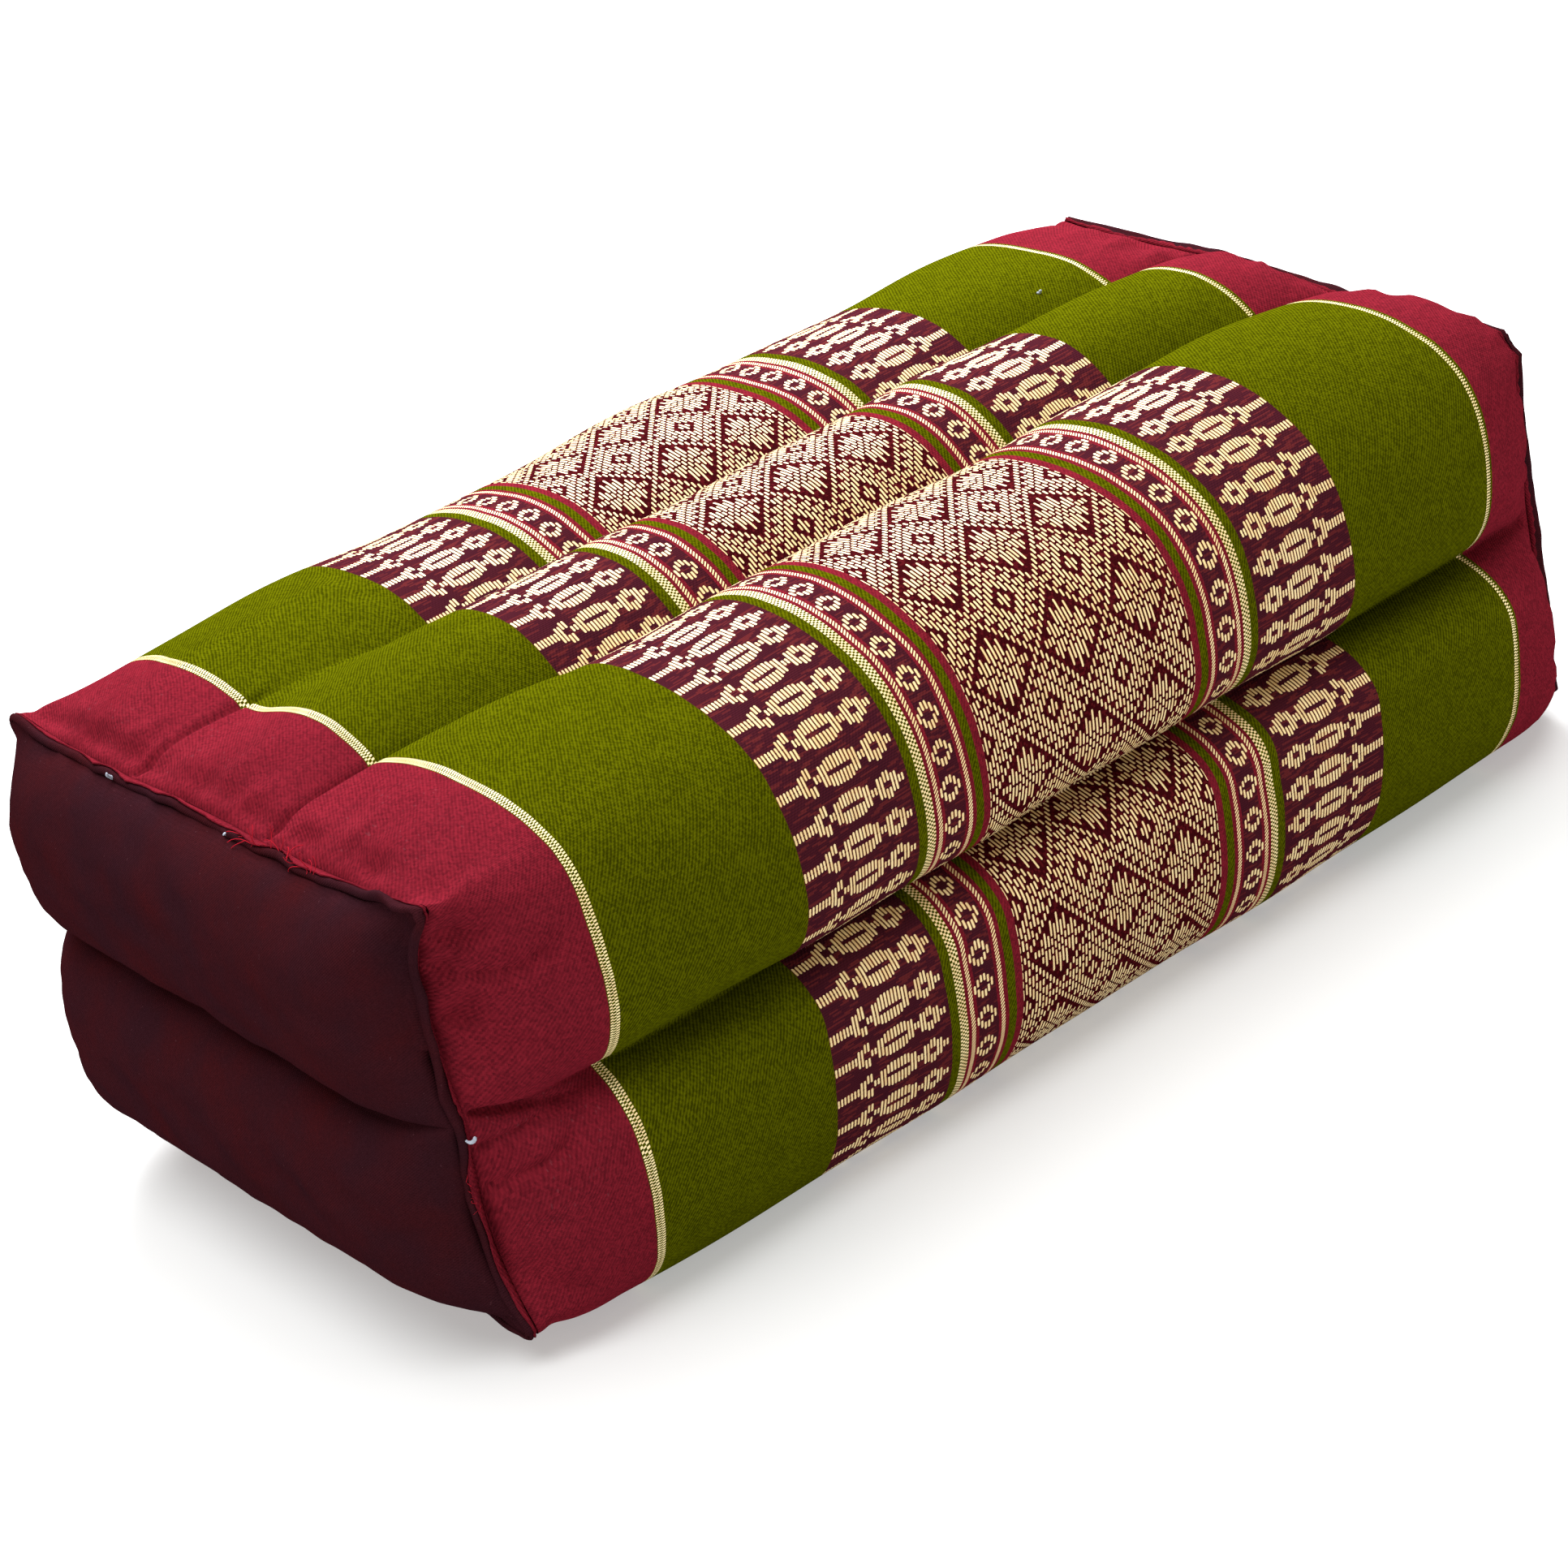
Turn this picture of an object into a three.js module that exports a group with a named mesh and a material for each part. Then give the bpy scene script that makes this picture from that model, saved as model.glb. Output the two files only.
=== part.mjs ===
// Support cushion: six firmly filled tubes, three above three, wrapped in one striped cloth
// and closed at each end by a plain dark panel that is sewn on with its raw edges outside.
// Millimetres, +Z up. X runs along the tubes, with the near end at -X and the front at -Y.
// The origin is on the floor, below the middle.

import * as THREE from 'three';
import { mergeVertices } from 'three/addons/utils/BufferGeometryUtils.js';

// Length of the block
const SEAM_X = 173.5; // from the middle to each end seam
const SHOULDER_X = 100; // where the wrap begins to draw in
const SHOULDER_POWER = 2.4; // how square the drawn-in shoulder is
const SHOULDER_REACH = 0.97; // below 1, so that the wrap meets the seam at a slope
const FLAT_BANDS = 5; // mesh bands between the two shoulders
const SHOULDER_BANDS = 12; // mesh bands along each shoulder

// Section of the block at its middle
const ROUNDNESS = 2.35; // exponent of each tube's outline, where 2 is an ellipse
const STITCH_PULL = 9; // how short the pull of a channel's stitching is
const TUBE_STEPS = 14; // outline steps round a corner tube
const MIDDLE_STEPS = 8; // outline steps over a middle tube

// End panels
const CLOTH = 2; // panel thickness, with its turned edge
const GAP = 0.9; // along X between the block and a panel, about 0.3 square to steep cloth
const LIP_HEIGHT = 3.2; // seam allowance standing along the seam
const LIP_LEAN = THREE.MathUtils.degToRad(41); // from straight out of the end
const CREASE_HEIGHT = 5; // how far the crease stands out of the seam's plane
const PILLOW_EDGE = 24; // width of a pillow's rounded edge
const PILLOW_POWER = 2.2; // fullness of that edge
const PILLOW_FALL = 0.6; // and how steeply it leaves the seam
const THICKNESS_LEAN = 0.8; // how much a panel's thickness leans out of the end

// A panel's rows from its crease to its seam: share of the way, inset from the seam and how
// much of the corners' flare the row has
const PANEL_ROWS = [
  { share: 0, inset: 0, flare: 0 },
  { share: 0.18, inset: 4.5, flare: 0 },
  { share: 0.42, inset: 4.5, flare: 0 },
  { share: 0.75, inset: 4.5, flare: 0 },
  { share: 1, inset: 4.5, flare: 0.08 },
  { share: 1, inset: 1.6, flare: 0.4 },
  { share: 1, inset: 0, flare: 1 },
];
const CREASE_SKIP = 1.5; // columns' worth of crease left out beside each side groove
const SHARPEST_TURN = 0.5; // limits how far a sharp corner is moved
const SAME_POINT = 1e-3; // points closer than this are one

// Where the channels' stitching lies: y and z at the middle, then at each end's seam
const GROOVES = {
  sideFront: { y: -89.5, z: 65.5, near: [-81.5, 64], far: [-84, 60] },
  bottomFront: { y: -27.5, z: 6.5, near: [-30, 13], far: [-30, 6] },
  bottomBack: { y: 27.5, z: 6.5, near: [30, 13], far: [30, 6.5] },
  sideBack: { y: 90, z: 65, near: [87.5, 62], far: [84, 61] },
  topBack: { y: 27.5, z: 121, near: [30, 117], far: [28, 119] },
  topFront: { y: -27.5, z: 121.5, near: [-30, 118], far: [-30, 113.5] },
};

// The tubes' outlines in order round the block, from the front groove under the bottom.
// Each has its centre, half width, the further half width that it gains towards the far end
// and loses towards the near one, heights above and below its centre, and its corner at each
// seam, or for a middle tube how far its edge crowns there.
const TUBES = [
  {
    y: -60, z: 50, half: 45, taper: 3, up: 19, down: 54, from: 'sideFront', to: 'bottomFront',
    steps: TUBE_STEPS, startsOnSide: true, near: [-86.5, 12], far: [-84, 3],
  },
  {
    y: 0, z: 50, half: 34, taper: 0, up: 19, down: 54, from: 'bottomFront', to: 'bottomBack',
    steps: MIDDLE_STEPS, near: -1.5, far: -1.5,
  },
  {
    y: 60, z: 50, half: 45, taper: 1, up: 19, down: 54, from: 'bottomBack', to: 'sideBack',
    steps: TUBE_STEPS, startsOnSide: false, near: [90, 12], far: [86, 5.5],
  },
  {
    y: 60, z: 94, half: 48, taper: 0, up: 36, down: 38, from: 'sideBack', to: 'topBack',
    steps: TUBE_STEPS, startsOnSide: true, near: [93, 119.5], far: [88, 121],
  },
  {
    y: 0, z: 95, half: 34, taper: 0, up: 38, down: 38, from: 'topBack', to: 'topFront',
    steps: MIDDLE_STEPS, near: 0.8, far: 1,
  },
  {
    y: -60, z: 95, half: 47.2, taper: -1.2, up: 38, down: 38, from: 'topFront', to: 'sideFront',
    steps: TUBE_STEPS, startsOnSide: false, near: [-95.5, 124.5], far: [-86, 112],
  },
];

// How sharply a seam turns out to its corner, along a level edge and an upright one
const FLARE_LEVEL = 3;
const FLARE_SIDE = 5;

// The two ends: direction along X, how far the upper and lower pillows swell, and how far the
// front's upright edges bow in between corner and groove
const ENDS = {
  near: { name: 'near', side: -1, upper: 17, lower: 20, bow: 3.5 },
  far: { name: 'far', side: 1, upper: 9, lower: 9, bow: 0 },
};

const wrapMaterial = new THREE.MeshStandardMaterial({
  color: 0x6f7a14, roughness: 0.8, metalness: 0,
});
const nearMaterial = new THREE.MeshStandardMaterial({
  color: 0x43151e, roughness: 0.9, metalness: 0,
});
const farMaterial = new THREE.MeshStandardMaterial({
  color: 0x43151e, roughness: 0.9, metalness: 0,
});

// Keeps the sign of a value raised to a power.
function signedPower(value, exponent) {
  return Math.sign(value) * Math.abs(value) ** exponent;
}

// Angle on a tube's rounded outline that faces a point of the section.
function facingAngle(tube, half, point) {
  const across = (point.y - tube.y) / half;
  const rise = (point.z - tube.z) / (point.z > tube.z ? tube.up : tube.down);
  return Math.atan2(
    signedPower(rise, ROUNDNESS / 2),
    signedPower(across, ROUNDNESS / 2),
  );
}

function outlinePoint(tube, half, angle) {
  const across = signedPower(Math.cos(angle), 2 / ROUNDNESS);
  const rise = signedPower(Math.sin(angle), 2 / ROUNDNESS);
  const height = rise > 0 ? tube.up : tube.down;
  return { y: tube.y + half * across, z: tube.z + height * rise };
}

// Point of the full section on one tube, with t from 0 at its first groove to 1.
function fullPoint(tube, t, x) {
  const first = GROOVES[tube.from];
  const last = GROOVES[tube.to];
  const half = tube.half + tube.taper * x / SEAM_X;
  const start = facingAngle(tube, half, first);
  let finish = facingAngle(tube, half, last);
  if (finish < start) {
    finish += 2 * Math.PI;
  }
  const point = outlinePoint(tube, half, start + (finish - start) * t);
  const atStart = outlinePoint(tube, half, start);
  const atFinish = outlinePoint(tube, half, finish);
  const startPull = (1 - t) ** STITCH_PULL;
  const finishPull = t ** STITCH_PULL;
  point.y += (first.y - atStart.y) * startPull + (last.y - atFinish.y) * finishPull;
  point.z += (first.z - atStart.z) * startPull + (last.z - atFinish.z) * finishPull;
  point.z = Math.max(point.z, 0);
  return point;
}

// Point of an end seam between a groove and its corner, with share 0 at the groove.
function edgePoint(groove, corner, share, upright, bow) {
  const [cornerY, cornerZ] = corner;
  const [grooveY, grooveZ] = groove;
  const shareY = upright ? share ** FLARE_SIDE : share;
  const shareZ = upright ? share : share ** FLARE_LEVEL;
  const inwards = upright && grooveY < 0 ? bow * Math.sin(Math.PI * share) : 0;
  return {
    y: grooveY + (cornerY - grooveY) * shareY + inwards,
    z: grooveZ + (cornerZ - grooveZ) * shareZ,
  };
}

// Point of an end seam on one tube, for the same t as in fullPoint. Flare 1 gives the seam
// with its corners, and flare 0 the plain oblong inside them.
function seamPoint(tube, t, end, flare) {
  const first = GROOVES[tube.from][end.name];
  const last = GROOVES[tube.to][end.name];
  if (tube.startsOnSide === undefined) {
    return {
      y: first[0] + (last[0] - first[0]) * t,
      z: first[1] + (last[1] - first[1]) * t + tube[end.name] * Math.sin(Math.PI * t),
    };
  }
  const [sideY, levelZ] = tube.startsOnSide ? [first[0], last[1]] : [last[0], first[1]];
  const [cornerY, cornerZ] = tube[end.name];
  const corner = [
    THREE.MathUtils.lerp(sideY, cornerY, flare),
    THREE.MathUtils.lerp(levelZ, cornerZ, flare),
  ];
  if (t < 0.5) {
    return edgePoint(first, corner, 2 * t, tube.startsOnSide, end.bow);
  }
  return edgePoint(last, corner, 2 - 2 * t, !tube.startsOnSide, end.bow);
}

// How far the section has drawn in towards the seam, from 0 at the shoulder to 1.
function drawnIn(x) {
  const reach = (Math.abs(x) - SHOULDER_X) / (SEAM_X - SHOULDER_X);
  const bend = (share) => {
    return 1 - (1 - (share * SHOULDER_REACH) ** SHOULDER_POWER) ** (1 / SHOULDER_POWER);
  };
  return reach > 0 ? bend(reach) / bend(1) : 0;
}

// Ring of points round the block at one x.
function ring(x, flare = 1) {
  const end = x < 0 ? ENDS.near : ENDS.far;
  const share = drawnIn(x);
  const points = [];
  for (const tube of TUBES) {
    for (let step = 0; step < tube.steps; step += 1) {
      const t = step / tube.steps;
      const full = fullPoint(tube, t, x);
      const seam = seamPoint(tube, t, end, flare);
      const y = THREE.MathUtils.lerp(full.y, seam.y, share);
      const z = THREE.MathUtils.lerp(full.z, seam.z, share);
      points.push(new THREE.Vector3(x, y, z));
    }
  }
  return points;
}

// Places of the rings along X, closer together towards the seams.
function stations() {
  const places = [];
  for (let band = 0; band <= FLAT_BANDS; band += 1) {
    places.push(SHOULDER_X * (2 * band / FLAT_BANDS - 1));
  }
  for (let band = 1; band <= SHOULDER_BANDS; band += 1) {
    const turn = (Math.PI / 2) * (band / SHOULDER_BANDS);
    const x = SHOULDER_X + (SEAM_X - SHOULDER_X) * Math.sin(turn);
    places.push(x);
    places.unshift(-x);
  }
  return places;
}

// Rise of a pillow at a distance from its edge, from 0 to 1.
function pillowRise(distance) {
  const share = THREE.MathUtils.clamp(distance / PILLOW_EDGE, 0, 1);
  return (1 - (1 - share) ** PILLOW_POWER) ** PILLOW_FALL;
}

// How far an end swells out of its seam's plane at one point: two pillows and their crease.
function swellAt(end, point) {
  const ofEnd = (name) => GROOVES[name][end.name];
  const [frontY, frontZ] = ofEnd('sideFront');
  const [backY, backZ] = ofEnd('sideBack');
  const place = (point.y - frontY) / (backY - frontY);
  const creaseZ = THREE.MathUtils.lerp(frontZ, backZ, place);
  const isUpper = point.z > creaseZ;
  const [, firstZ] = ofEnd(isUpper ? 'topFront' : 'bottomFront');
  const [, lastZ] = ofEnd(isUpper ? 'topBack' : 'bottomBack');
  const levelZ = THREE.MathUtils.lerp(firstZ, lastZ, place);
  const climb = THREE.MathUtils.clamp((point.z - creaseZ) / (levelZ - creaseZ), 0, 1);
  const bowed = end.bow * Math.sin(Math.PI * climb);
  const inFromSide = Math.min(point.y - frontY - bowed, backY - point.y);
  const inFromLevel = (1 - climb) * Math.abs(levelZ - creaseZ);
  const fromCrease = pillowRise(Math.abs(point.z - creaseZ));
  const full = (isUpper ? end.upper : end.lower) * pillowRise(inFromLevel);
  return pillowRise(inFromSide) * THREE.MathUtils.lerp(CREASE_HEIGHT, full, fromCrease);
}

// Grid of points over one end, in columns from the front groove to the back one and in rows
// from the bottom seam over the crease to the top seam.
function endGrid(end) {
  const seam = ring(end.side * SEAM_X);
  const plain = ring(end.side * SEAM_X, 0);
  const outwards = ringMitres(plain);
  const columns = seam.length / 2;
  const rows = PANEL_ROWS.length - 1;
  const grid = [];
  for (let column = 0; column <= columns; column += 1) {
    const place = (column + CREASE_SKIP) / (columns + 2 * CREASE_SKIP);
    const crease = new THREE.Vector3().lerpVectors(seam[0], seam[columns], place);
    const line = [];
    for (let row = -rows; row <= rows; row += 1) {
      const { share, inset, flare } = PANEL_ROWS[Math.abs(row)];
      const index = row < 0 ? column : (seam.length - column) % seam.length;
      const edge = plain[index].clone().addScaledVector(outwards[index], -inset);
      const point = new THREE.Vector3().lerpVectors(crease, edge, share);
      point.addScaledVector(seam[index].clone().sub(plain[index]), flare);
      point.x += end.side * swellAt(end, point);
      line.push(Math.abs(row) === rows ? seam[index] : point);
    }
    const isEdge = column === 0 || column === columns;
    grid.push(isEdge ? line.map(() => seam[column]) : line);
  }
  return grid;
}

// Outward direction at each point of a grid, from its neighbours.
function gridNormals(grid, side) {
  const last = grid.length - 1;
  const top = grid[0].length - 1;
  return grid.map((line, column) => line.map((point, row) => {
    if (column === 0 || column === last) {
      return new THREE.Vector3(side, 0, 0);
    }
    const along = grid[column + 1][row].clone().sub(grid[column - 1][row]);
    const up = line[Math.min(row + 1, top)].clone().sub(line[Math.max(row - 1, 0)]);
    return along.cross(up).multiplyScalar(side).normalize();
  }));
}

// The grid moved straight out of its end.
function shiftGrid(grid, distance) {
  const shift = new THREE.Vector3(distance, 0, 0);
  return grid.map((line) => line.map((point) => point.clone().add(shift)));
}

// The grid thickened outwards, leaning out of the end where the pillow is steep.
function thickenGrid(grid, thickness, side) {
  const normals = gridNormals(grid, side);
  return grid.map((line, column) => line.map((point, row) => {
    const normal = normals[column][row];
    const way = new THREE.Vector3(side * THICKNESS_LEAN, 0, 0).add(normal).normalize();
    return point.clone().addScaledVector(way, thickness / way.dot(normal));
  }));
}

// Outward direction of a ring's edge in the section's plane.
function edgeNormal(from, to) {
  return new THREE.Vector3(0, to.z - from.z, from.y - to.y).normalize();
}

// Outward direction at each point of a ring, longer at a corner so that the edges on both
// sides of it move by the same distance.
function ringMitres(points) {
  const count = points.length;
  return points.map((point, index) => {
    const before = edgeNormal(points[(index + count - 1) % count], point);
    const after = edgeNormal(point, points[(index + 1) % count]);
    const turn = Math.max(1 + before.dot(after), SHARPEST_TURN);
    return before.add(after).divideScalar(turn);
  });
}

// Two triangles of a quad given in order round it, turned over when asked. The diagonal is
// the same either way, so that facing surfaces bend along the same lines.
function quad(triangles, [a, b, c, d], flipped) {
  if (flipped) {
    triangles.push([a, c, b], [a, d, c]);
  } else {
    triangles.push([a, b, c], [a, c, d]);
  }
}

// Faces between two rings with the same count of points.
function bridge(triangles, first, second, flipped) {
  const count = first.length;
  for (let index = 0; index < count; index += 1) {
    const next = (index + 1) % count;
    quad(triangles, [first[index], first[next], second[next], second[index]], flipped);
  }
}

// Faces of a grid.
function cover(triangles, grid, flipped) {
  for (let column = 0; column < grid.length - 1; column += 1) {
    for (let row = 0; row < grid[0].length - 1; row += 1) {
      const corners = [
        grid[column][row], grid[column + 1][row],
        grid[column + 1][row + 1], grid[column][row + 1],
      ];
      quad(triangles, corners, flipped);
    }
  }
}

// Closed geometry from triangles, with shared points merged and flat ones dropped.
function closedGeometry(triangles) {
  const loose = new THREE.BufferGeometry();
  loose.setFromPoints(triangles.flat());
  const merged = mergeVertices(loose, SAME_POINT);
  const index = merged.getIndex().array;
  const kept = [];
  for (let start = 0; start < index.length; start += 3) {
    const [a, b, c] = index.slice(start, start + 3);
    if (a !== b && b !== c && a !== c) {
      kept.push(a, b, c);
    }
  }
  merged.setIndex(kept);
  merged.computeVertexNormals();
  return merged;
}

// The filled block in its striped wrap, one solid with its channels.
function makeBlock() {
  const triangles = [];
  const rings = stations().map((x) => ring(x));
  for (let index = 1; index < rings.length; index += 1) {
    bridge(triangles, rings[index - 1], rings[index], false);
  }
  for (const end of Object.values(ENDS)) {
    cover(triangles, endGrid(end), end.side < 0);
  }
  return closedGeometry(triangles);
}

// Replaces a grid's rim by a ring of points in the seam's order.
function withRim(grid, rim) {
  const columns = grid.length - 1;
  return grid.map((line, column) => {
    const bottom = rim[column];
    const top = rim[(rim.length - column) % rim.length];
    if (column === 0 || column === columns) {
      return line.map(() => bottom);
    }
    return [bottom, ...line.slice(1, -1), top];
  });
}

// One end panel: a cloth shell over the two pillows, with its seam allowance standing out.
function makePanel(end) {
  const seam = ring(end.side * SEAM_X);
  const outwards = ringMitres(seam);
  const away = new THREE.Vector3(end.side, 0, 0);
  const foot = seam.map((point) => point.clone().addScaledVector(away, GAP));
  const lipBack = foot.map((point, index) => point.clone()
    .addScaledVector(away, LIP_HEIGHT * Math.cos(LIP_LEAN))
    .addScaledVector(outwards[index], LIP_HEIGHT * Math.sin(LIP_LEAN)));
  const lipFront = lipBack.map((point, index) => point.clone()
    .addScaledVector(away, CLOTH * Math.sin(LIP_LEAN))
    .addScaledVector(outwards[index], -CLOTH * Math.cos(LIP_LEAN)));
  const inside = shiftGrid(endGrid(end), end.side * GAP);
  const outside = withRim(thickenGrid(inside, CLOTH, end.side), lipFront);
  const triangles = [];
  cover(triangles, inside, end.side > 0);
  cover(triangles, outside, end.side < 0);
  bridge(triangles, foot, lipBack, end.side < 0);
  bridge(triangles, lipBack, lipFront, end.side < 0);
  return closedGeometry(triangles);
}

function namedMesh(name, geometry, material) {
  const mesh = new THREE.Mesh(geometry, material);
  mesh.name = name;
  return mesh;
}

// The near end swells more than the far one, so the cushion moves along to stay centred.
const group = new THREE.Group();
group.position.x = (ENDS.near.lower - ENDS.far.lower) / 2;
group.add(namedMesh('filled_block', makeBlock(), wrapMaterial));
group.add(namedMesh('near_end_panel', makePanel(ENDS.near), nearMaterial));
group.add(namedMesh('far_end_panel', makePanel(ENDS.far), farMaterial));

export default group;
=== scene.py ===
"""Looks of an oblong support cushion: its striped wrap, its two end panels and their raw edges.

Sizes in the tables are millimetres. Meshes are made in metres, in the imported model's frame.
"""

import math
from collections import namedtuple

import bmesh
import bpy
import numpy as np
from bpy.props import FloatProperty, FloatVectorProperty, IntProperty, PointerProperty
from mathutils import Matrix, Vector
from numpy.linalg import norm


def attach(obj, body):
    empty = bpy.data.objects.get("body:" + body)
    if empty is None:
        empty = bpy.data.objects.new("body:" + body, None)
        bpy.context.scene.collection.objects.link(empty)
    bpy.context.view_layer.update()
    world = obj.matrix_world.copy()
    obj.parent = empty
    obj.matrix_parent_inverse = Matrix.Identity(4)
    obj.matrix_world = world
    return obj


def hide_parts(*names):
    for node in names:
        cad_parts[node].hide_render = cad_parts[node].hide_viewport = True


bl_info = {
    "name": "Support cushion",
    "version": (1, 0, 0),
    "blender": (4, 5, 0),
    "location": "3D View > Sidebar > Cushion",
    "description": "Builds a channelled support cushion in a woven wrap with plain sewn ends",
    "category": "Add Mesh",
}

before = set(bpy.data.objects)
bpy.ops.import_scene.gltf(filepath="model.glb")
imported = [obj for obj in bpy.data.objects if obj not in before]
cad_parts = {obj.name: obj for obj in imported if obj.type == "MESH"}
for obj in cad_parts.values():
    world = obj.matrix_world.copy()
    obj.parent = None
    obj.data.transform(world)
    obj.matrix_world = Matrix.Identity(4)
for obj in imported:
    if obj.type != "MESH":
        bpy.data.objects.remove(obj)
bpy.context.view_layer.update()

MM = 0.001

# The wrap between its two end seams
SEAM_X = 173.5
SHIFT_X = 5.5
SHOULDER_X = 100.0
SHOULDER_REACH = 0.98
DRIFT_X = 95.0
DRIFT_POWER = 0.55
MIDDLE_Z = 62.0

# Outline of a tube and of an end seam
ROUNDNESS = 2.35
STITCH_PULL = 9
FLARE_LEVEL = 3
FLARE_SIDE = 5
CORNER_BLEND = 2.2

# End panels
GAP = 0.9
CLOTH = 1.5
CREASE_HEIGHT = 5.0
PILLOW_EDGE = 24.0
PILLOW_POWER = 2.2
PILLOW_FALL = 0.6
SHARPEST_TURN = 0.5

# Lips of seam allowance round the end panels. On its front edge the near lip grows taller and
# leans out more, by the height above the floor
LIP_HEIGHT = 2.4
LIP_LEAN = math.radians(41)
LIP_CORNER = 9.0
LIP_BLUNT = 0.45
LIP_FRONT_Y = -78
LIP_HEIGHTS = ((66, 80, 118, 124), (2.4, 4.64, 4.64, 3.744))
LIP_LEANING = ((5, 14, 70, 88, 119, 123), (0.135, 0, 0, 0.45, 0.45, 0.135))
LIP_PROFILE = (
    (0.1, 1.7), (0.35, 2.0), (0.65, 2.05), (0.88, 1.7), (1.0, 1.0), (0.93, 0.3), (0.6, 0.0),
)
OUTWARDS_ROUNDS = 10
LIP_ROUNDS = 12
LIP_SEED = 20

# Section of the wrap's raw edge behind a lip: share of its own top and of the lip's height, and
# distance across the lip
RAW_EDGE = (
    (0, -0.2, -0.02), (0.6, 0, -0.05), (1, 0, -0.08), (1, 0.06, -0.3),
    (1, 0, -0.52), (0.5, 0, -0.6), (0, -0.2, -0.5), (0, -0.2, -0.02),
)
RAW_TOP = 0.32
RAW_LEAST = 0.04
RAW_BLUR = 6

# Bands of small folds and of the drawn-in line beside an end seam: distance from it and width
PUCKER_BAND = (7, 9)
VALLEY_BAND = (4, 2.8)

# Fineness of the meshes
CORNER_STEPS = 72
MIDDLE_STEPS = 44
CROWDING = 0.55
FLAT_BANDS = 84
SHOULDER_BANDS = 46

Groove = namedtuple("Groove", "y z near far drift", defaults=((0, 0),))
Tube = namedtuple("Tube", "y z half taper up down first last side_first near far phase")
End = namedtuple("End", "name side upper lower bow corner low_power high_power wild")

GROOVES = {
    "side_front": Groove(-89.5, 65.5, (-81.5, 65), (-84, 60)),
    "bottom_front": Groove(-27.5, 6.5, (-30, 13), (-30, 6)),
    "bottom_back": Groove(27.5, 6.5, (30, 13), (30, 6.5)),
    "side_back": Groove(90, 65, (92, 68.5), (84, 61)),
    "top_back": Groove(27.5, 121, (38, 119), (28, 119), (6.5, 9)),
    "top_front": Groove(-27.5, 121.5, (-22, 119), (-30, 113.5), (4.5, 5.5)),
}

# Tubes in order round the block, each with the place round it where a woven flower is centred
TUBES = (
    Tube(-60, 50, 45, 3, 19, 54, "side_front", "bottom_front", True, (-89, 7.5), (-84.5, 2.5), 34.8),
    Tube(0, 50, 34, 0, 19, 54, "bottom_front", "bottom_back", None, -1.5, -1.5, 20.0),
    Tube(60, 50, 45, 1, 19, 54, "bottom_back", "side_back", False, (90, 12), (86, 5.5), 30.0),
    Tube(60, 94, 48, 0, 36, 38, "side_back", "top_back", True, (96.5, 123), (89.5, 122), 125.9),
    Tube(0, 95, 34, 0, 38, 38, "top_back", "top_front", None, 0.8, 1, 40.8),
    Tube(-60, 95, 47.2, -1.2, 38, 38, "top_front", "side_front", False, (-95.5, 124.5), (-88.5, 113), 59.2),
)
ENDS = {
    "near": End("near", -1, 17, 20, 3.5, 0.03, 3.3, 2.5, 1.0),
    "far": End("far", 1, 9, 9, 0, 0.06, 3.0, 3.0, 0.4),
}

# Folds pressed into the wrap near its seams, by the side that they lie on. On the top they run from
# an x and y to another, and on the front and back from an x and z. Then their depth and width.
CREASES = {
    "top": ((-173, -64, -163, -61, 0.8, 2.4),),
    "front": (
        (-175, 66.5, -153, 62.5, 4.2, 1.2), (-153, 62.5, -140, 65, 1.4, 2.4),
        (-172, 57, -155, 62, 3.2, 1.2), (-173, 46, -157, 53, 3.2, 1.6),
        (-157, 53, -153, 60, 1.6, 1.8), (-174, 105, -160, 101, 3.6, 1.7),
        (-160, 101, -149, 106, 2.6, 1.9), (-174, 113, -163, 112, 3.2, 1.6),
        (-174, 92, -166, 88, 2.8, 1.7), (-174, 79, -164, 76, 1.2, 2.2),
        (-173, 34, -163, 38, 1.2, 2.2), (-173, 24, -158, 16, 1.6, 2.1),
        (175, 60, 152, 64, 2.2, 2.2), (173, 84, 163, 82, 1.2, 2.2),
        (173, 101, 164, 103, 1.0, 2.2), (173, 40, 162, 44, 1.2, 2.2),
    ),
    "back": (
        (-175, 62, -150, 64, 2.6, 2.0), (-173, 50, -160, 55, 1.6, 2.0),
        (-173, 100, -161, 97, 1.5, 2.2), (175, 61, 150, 64, 2.4, 2.0),
        (173, 90, 162, 87, 1.3, 2.2),
    ),
}
PRESSED_Y = 70
PRESSED_Z = 95
PRESSED_WAY = {"top": (0, 0, -1), "front": (0, 1, 0), "back": (0, -1, 0)}

# The stitched lines between the upper tubes, where they show as sharp folds near the ends
STITCH_DEPTH = 2.1
STITCH_WIDTH = 1.1
STITCH_SHOWN = ((-SEAM_X, -172, -140, -128, 138, 146, 171, SEAM_X), (0, 1, 0.9, 0, 0, 1, 1, 0))

# Frayed threads at the near end: where they stand on the lip, the y of those on top and the z of
# those at the side, their spacing in metres and their radius as a share of their length
FRAYED_ROW = (0.95, -0.3)
FRAYED_TOP = (-52, -16)
FRAYED_SIDE = (41, 52)
FRAYED_SPACING = 0.0016
FRAYED_RADIUS = 0.028

# Curls of pale yarn caught along the near seam, and a fleck on the green, by place and size
BIT_THICKNESS = 0.5
BITS = (
    ((-176.2, 41.0, 120.0), 3.4), ((-176.2, -12.0, 120.0), 3.2), ((-175.2, -84.5, 63.0), 3.0),
    ((122.0, 36.0, 127.2), 1.4),
)

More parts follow.
